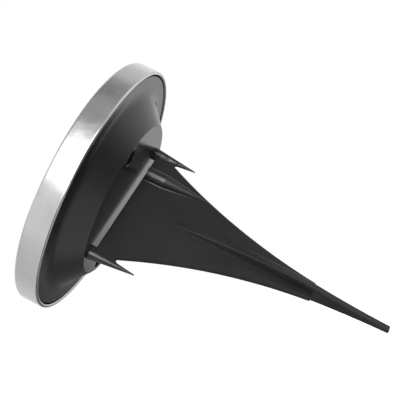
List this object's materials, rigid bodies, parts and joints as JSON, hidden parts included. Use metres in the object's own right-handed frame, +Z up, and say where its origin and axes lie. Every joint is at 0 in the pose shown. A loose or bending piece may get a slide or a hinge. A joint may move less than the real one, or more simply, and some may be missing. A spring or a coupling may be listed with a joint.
{
  "type": "solar disk light",
  "caption": "Flat round solar path light: steel-rimmed disk with a solar panel and ring of lights, on a black plug-in ground stake.",
  "frame": {"origin": "on the disk's axis in the plane of the base cover's flat plate, where the head meets the stake at the soil", "axes": "+Z up along the disk's axis, the way the light shines; X along the width of the stake's blade; the blade's half-round boss faces -Y"},
  "size_m": [0.115, 0.115, 0.1469],
  "materials": {
    "trim_steel": "turned and lightly brushed stainless sheet, folded over the window",
    "window": "clear gloss polycarbonate",
    "seal_rubber": "matte silicone rubber",
    "mounting_tape": "double-sided mounting tape",
    "tray_white": "bright moulded white plastic",
    "panel_backing": "thin white glass-fibre backing",
    "solar_cell": "dark blue silicon under clear resin",
    "board_green": "green solder mask",
    "board_white": "white solder mask",
    "light_lens": "clear epoxy dome",
    "cover_black": "satin black moulded ABS",
    "screw_steel": "bright zinc-plated steel",
    "screw_black": "blackened steel, dull",
    "battery_wrap": "plain shrink sleeve",
    "contact_nickel": "nickel-plated spring steel",
    "chip_black": "moulded epoxy package",
    "choke_ferrite": "dark ferrite with a lacquered winding",
    "can_aluminium": "bare drawn can",
    "switch_black": "moulded nylon",
    "button_rubber": "matte soft-touch black",
    "wire_red": "PVC insulation, one wire of each pair red and one black",
    "stake_black": "satin black moulded ABS"
  },
  "bodies": {
    "stake": {"stake": "stake_black"},
    "head": {"trim_ring": "trim_steel", "lens": "window", "lens_seal": "seal_rubber", "reflector_tray": "tray_white", "panel_tape": "mounting_tape", "panel_board": "panel_backing", "solar_cells": "solar_cell", "led_board": "board_white", "leds": "light_lens", "base_cover": "cover_black", "cover_seal": "seal_rubber", "cover_screws": "screw_black", "battery": "battery_wrap", "contact_plus": "contact_nickel", "contact_minus": "contact_nickel", "control_board": "board_green", "board_screws": "screw_steel", "driver_chip": "chip_black", "choke": "choke_ferrite", "capacitor": "can_aluminium", "switch_housing": "switch_black", "battery_leads": "wire_red", "switch_leads": "wire_red", "led_leads": "wire_red", "panel_leads": "wire_red"},
    "button": {"switch_button": "button_rubber"}
  },
  "joints": [
    {"name": "head_lift", "type": "slide", "parent": "stake", "child": "head", "axis": [0, 0, 1], "range_m": [0, 0.02]},
    {"name": "switch_press", "type": "slide", "parent": "head", "child": "button", "axis": [0, 0, 1], "range_m": [0, 0.001], "stiffness_N_per_m": 800, "springref_m": -0.0008}
  ]
}
